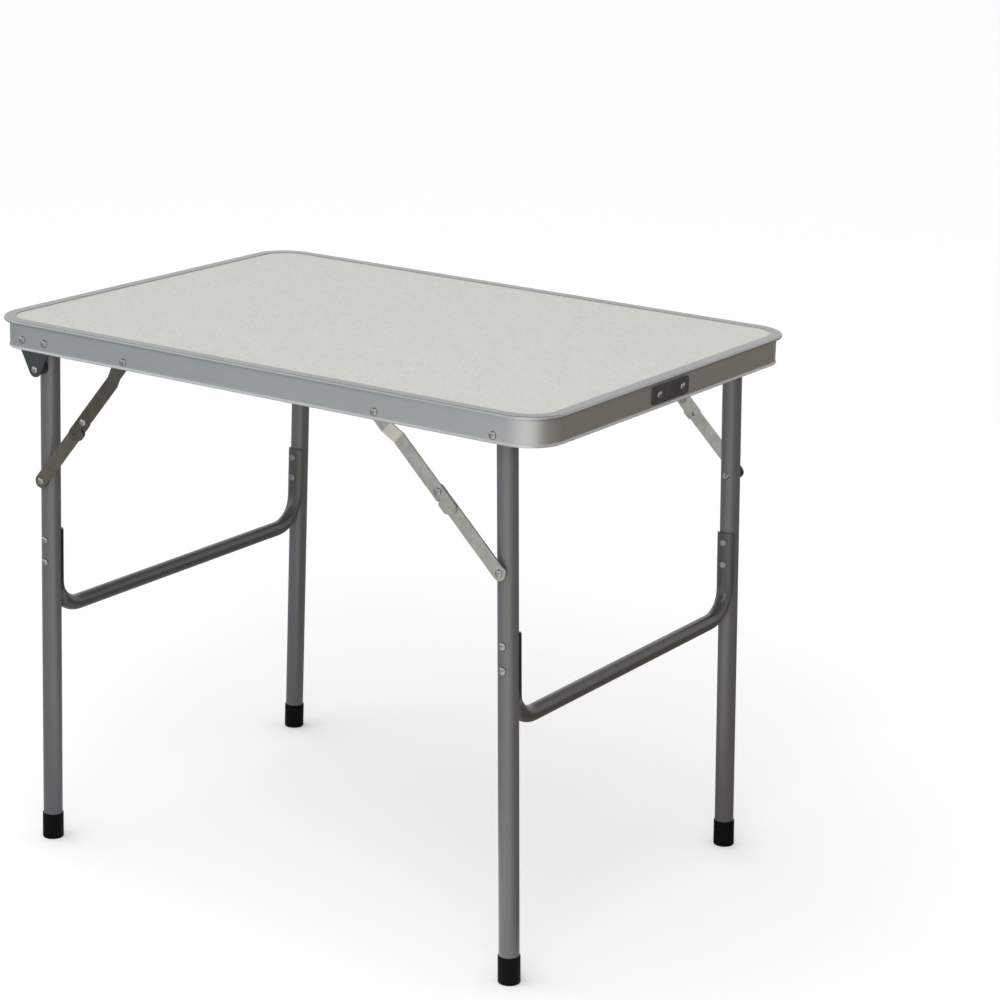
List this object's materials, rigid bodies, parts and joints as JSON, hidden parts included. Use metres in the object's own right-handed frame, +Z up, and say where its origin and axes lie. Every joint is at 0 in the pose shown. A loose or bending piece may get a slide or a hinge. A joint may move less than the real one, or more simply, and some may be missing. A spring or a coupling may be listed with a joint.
{
  "type": "camping table",
  "caption": "Folding camping table with a pale rounded board in a metal rim, tube legs on fold-flat braces, U crossbars, black feet and a strap handle.",
  "frame": {"origin": "on the floor under the middle of the table top", "axes": "+X along the long side towards the spliced end, +Y across towards the strap handle, +Z up"},
  "size_m": [0.7, 0.5, 0.59],
  "materials": {
    "board_laminate": "satin off-white laminate with a faint fine mottle",
    "rim_metal": "satin extruded",
    "zinc_plate": "dull zinc plated",
    "rivet_metal": "bright zinc plated",
    "brace_steel": "zinc plated strip",
    "leg_paint": "dark grey metallic",
    "crossbar_paint": "dark grey metallic, glossier",
    "foot_black": "matte black",
    "spacer_black": "matte black",
    "strap_grey": "soft grey",
    "cap_grey": "moulded grey"
  },
  "bodies": {
    "top": {"tabletop_panel": "board_laminate", "rim_frame": "rim_metal", "splice_plate": "zinc_plate", "splice_rivets": "rivet_metal", "bracket_rivets": "rivet_metal", "leg_pivot_rivets": "rivet_metal", "pivot_spacers": "spacer_black", "brace_rim_rivets": "rivet_metal", "handle_strap": "strap_grey", "handle_end_caps": "cap_grey", "handle_screws": "rivet_metal", "hinge_bracket_front": "zinc_plate", "hinge_bracket_back": "zinc_plate"},
    "leg_frame_left": {"crossbar_left": "crossbar_paint", "crossbar_rivets_left": "rivet_metal", "brace_pins_left": "rivet_metal", "leg_front_left": "leg_paint", "foot_cap_front_left": "foot_black", "leg_back_left": "leg_paint", "foot_cap_back_left": "foot_black"},
    "brace_upper_front_left": {"brace_upper_link_front_left": "brace_steel", "brace_knee_rivet_front_left": "rivet_metal"},
    "brace_lower_front_left": {"brace_lower_link_front_left": "brace_steel", "brace_leg_rivet_front_left": "rivet_metal"},
    "brace_upper_back_left": {"brace_upper_link_back_left": "brace_steel", "brace_knee_rivet_back_left": "rivet_metal"},
    "brace_lower_back_left": {"brace_lower_link_back_left": "brace_steel", "brace_leg_rivet_back_left": "rivet_metal"},
    "leg_frame_right": {"crossbar_right": "crossbar_paint", "crossbar_rivets_right": "rivet_metal", "brace_pins_right": "rivet_metal", "leg_front_right": "leg_paint", "foot_cap_front_right": "foot_black", "leg_back_right": "leg_paint", "foot_cap_back_right": "foot_black"},
    "brace_upper_front_right": {"brace_upper_link_front_right": "brace_steel", "brace_knee_rivet_front_right": "rivet_metal"},
    "brace_lower_front_right": {"brace_lower_link_front_right": "brace_steel", "brace_leg_rivet_front_right": "rivet_metal"},
    "brace_upper_back_right": {"brace_upper_link_back_right": "brace_steel", "brace_knee_rivet_back_right": "rivet_metal"},
    "brace_lower_back_right": {"brace_lower_link_back_right": "brace_steel", "brace_leg_rivet_back_right": "rivet_metal"}
  },
  "joints": [
    {"name": "left_leg_fold", "type": "hinge", "parent": "top", "child": "leg_frame_left", "pos_m": [-0.29, 0, 0.539], "axis": [0, -1, 0], "range_deg": [0, 91]},
    {"name": "brace_rim_front_left", "type": "hinge", "parent": "top", "child": "brace_upper_front_left", "pos_m": [-0.166, -0.2338, 0.5663], "axis": [0, -1, 0], "range_deg": [0, 121.86]},
    {"name": "brace_knee_front_left", "type": "hinge", "parent": "brace_upper_front_left", "child": "brace_lower_front_left", "pos_m": [-0.22908, -0.2338, 0.49066], "axis": [0, 1, 0], "range_deg": [0, 164.07]},
    {"name": "brace_rim_back_left", "type": "hinge", "parent": "top", "child": "brace_upper_back_left", "pos_m": [-0.166, 0.2338, 0.5663], "axis": [0, -1, 0], "range_deg": [0, 121.86]},
    {"name": "brace_knee_back_left", "type": "hinge", "parent": "brace_upper_back_left", "child": "brace_lower_back_left", "pos_m": [-0.22908, 0.2338, 0.49066], "axis": [0, 1, 0], "range_deg": [0, 164.07]},
    {"name": "right_leg_fold", "type": "hinge", "parent": "top", "child": "leg_frame_right", "pos_m": [0.291, 0, 0.5663], "axis": [0, 1, 0], "range_deg": [0, 92]},
    {"name": "brace_rim_front_right", "type": "hinge", "parent": "top", "child": "brace_upper_front_right", "pos_m": [0.153, -0.2338, 0.5663], "axis": [0, 1, 0], "range_deg": [0, 136]},
    {"name": "brace_knee_front_right", "type": "hinge", "parent": "brace_upper_front_right", "child": "brace_lower_front_right", "pos_m": [0.22441, -0.2338, 0.49734], "axis": [0, -1, 0], "range_deg": [0, 180]},
    {"name": "brace_rim_back_right", "type": "hinge", "parent": "top", "child": "brace_upper_back_right", "pos_m": [0.153, 0.2338, 0.5663], "axis": [0, 1, 0], "range_deg": [0, 136]},
    {"name": "brace_knee_back_right", "type": "hinge", "parent": "brace_upper_back_right", "child": "brace_lower_back_right", "pos_m": [0.22441, 0.2338, 0.49734], "axis": [0, -1, 0], "range_deg": [0, 180]}
  ],
  "couplings": [
    {"joint": "brace_rim_front_left", "follows": "left_leg_fold", "ratio": 1.3391},
    {"joint": "brace_knee_front_left", "follows": "left_leg_fold", "ratio": 1.8029},
    {"joint": "brace_rim_back_left", "follows": "left_leg_fold", "ratio": 1.3391},
    {"joint": "brace_knee_back_left", "follows": "left_leg_fold", "ratio": 1.8029},
    {"joint": "brace_rim_front_right", "follows": "right_leg_fold", "ratio": 1.4783},
    {"joint": "brace_knee_front_right", "follows": "right_leg_fold", "ratio": 1.9565},
    {"joint": "brace_rim_back_right", "follows": "right_leg_fold", "ratio": 1.4783},
    {"joint": "brace_knee_back_right", "follows": "right_leg_fold", "ratio": 1.9565}
  ]
}
